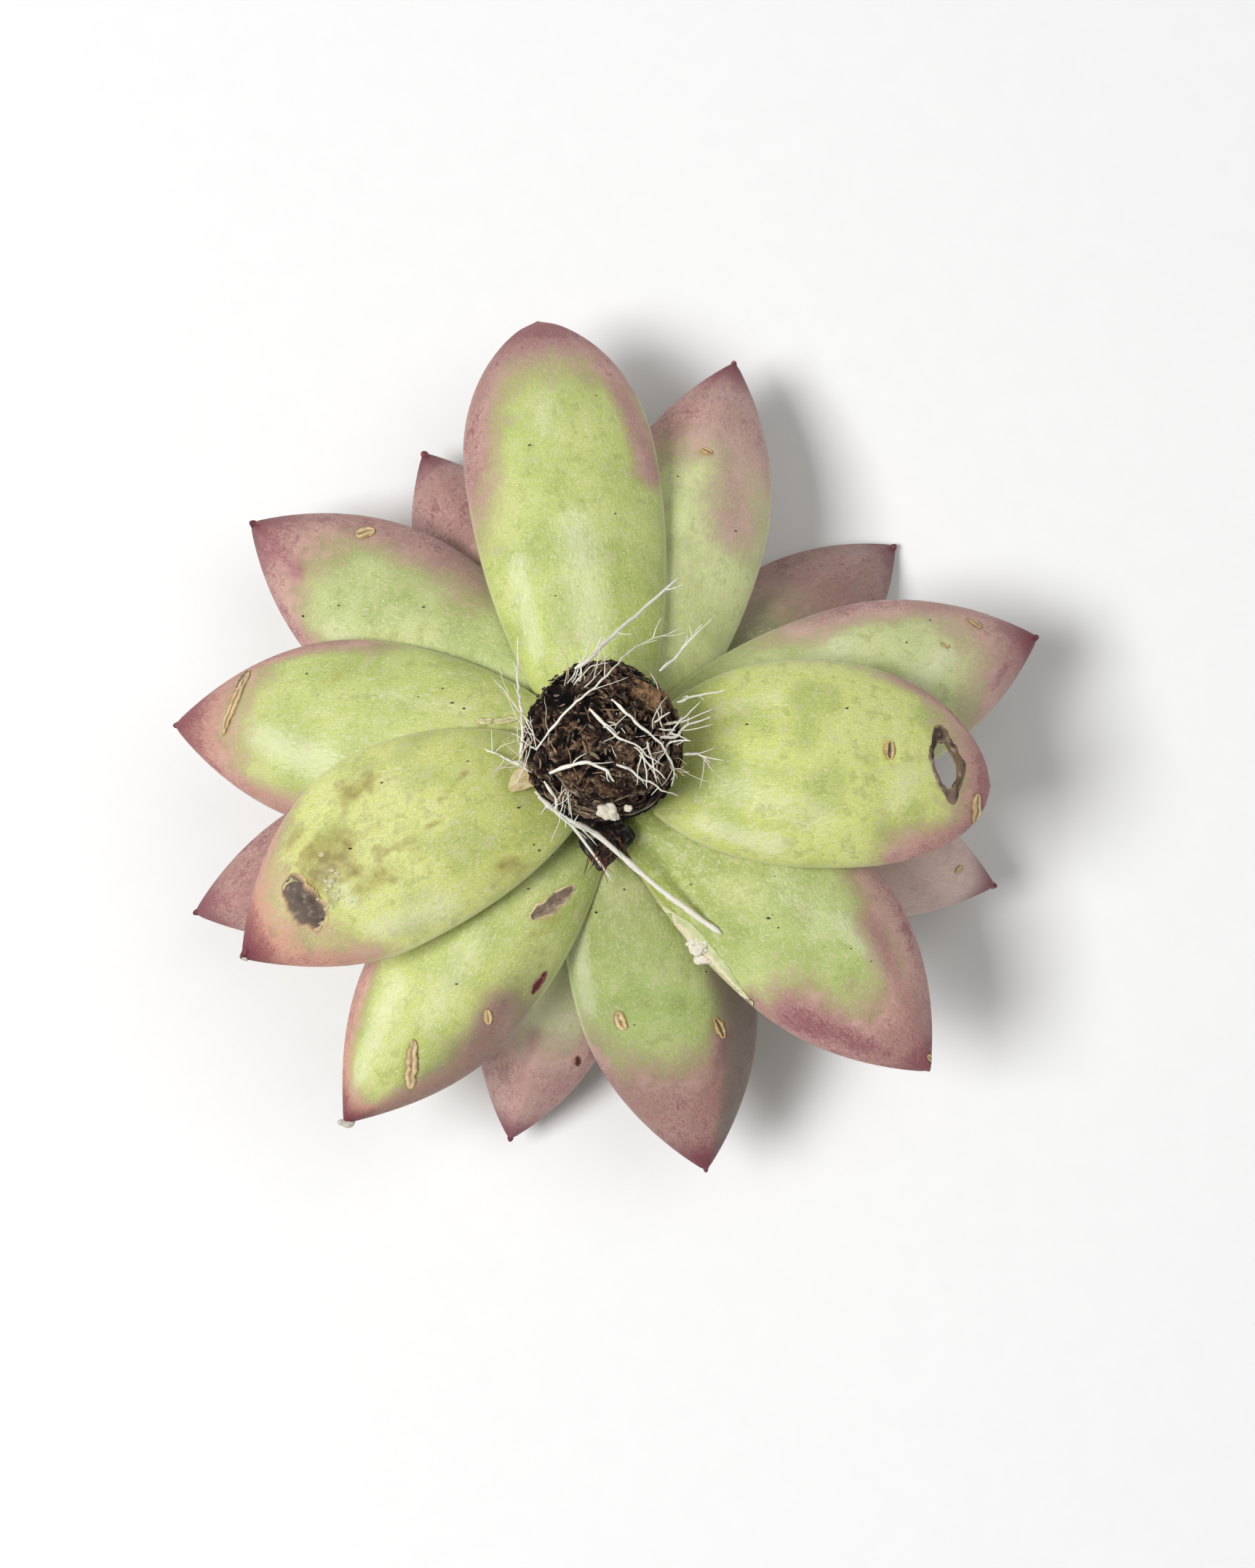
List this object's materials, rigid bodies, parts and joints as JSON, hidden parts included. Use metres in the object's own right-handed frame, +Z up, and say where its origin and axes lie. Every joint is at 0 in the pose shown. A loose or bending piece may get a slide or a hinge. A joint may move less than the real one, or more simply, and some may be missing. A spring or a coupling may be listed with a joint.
{
  "type": "bare-root succulent rosette",
  "caption": "Uprooted echeveria-type rosette lying face down on its leaf tips, with thick green leaves blushed pink, a rough woody stem stub and fine pale roots.",
  "frame": {"origin": "centre of the bottom of the whole plant's box, on the surface that the leaves rest on", "axes": "+Z up, from the face-down rosette towards the stem stub; +Y points along the longest, most upright leaf in the picture; +X to its right, seen from above"},
  "size_m": [0.0972, 0.0966, 0.0518],
  "materials": {
    "leaf": "waxy pale green leaf with a rose-pink blush at tip and margins",
    "bark": "rough dark brown bark",
    "dried_leaf": "dry dark brown leaf tissue",
    "root": "matt cream root",
    "papery_scale": "dry tan papery skin",
    "perlite": "matt off-white porous grain"
  },
  "bodies": {
    "root": {"dried_leaf_stub": "dried_leaf", "leaf_01": "leaf", "leaf_02": "leaf", "leaf_03": "leaf", "leaf_04": "leaf", "leaf_05": "leaf", "leaf_06": "leaf", "leaf_07": "leaf", "leaf_08": "leaf", "leaf_09": "leaf", "leaf_10": "leaf", "leaf_11": "leaf", "leaf_12": "leaf", "leaf_13": "leaf", "leaf_14": "leaf", "leaf_15": "leaf", "leaf_16": "leaf", "leaf_17": "leaf", "leaf_18": "leaf", "leaf_19": "leaf", "leaf_20": "leaf", "leaf_21": "leaf", "leaf_22": "leaf", "leaf_23": "leaf", "leaf_24": "leaf", "leaf_25": "leaf", "leaf_26": "leaf", "leaf_27": "leaf", "leaf_28": "leaf", "leaf_29": "leaf", "leaf_30": "leaf", "leaf_31": "leaf", "papery_scale": "papery_scale", "perlite_grain": "perlite", "root_01": "root", "root_02": "root", "root_03": "root", "root_04": "root", "root_05": "root", "root_06": "root", "root_07": "root", "root_08": "root", "root_09": "root", "root_10": "root", "root_11": "root", "root_12": "root", "root_13": "root", "root_14": "root", "root_15": "root", "stem": "bark"}
  },
  "joints": []
}
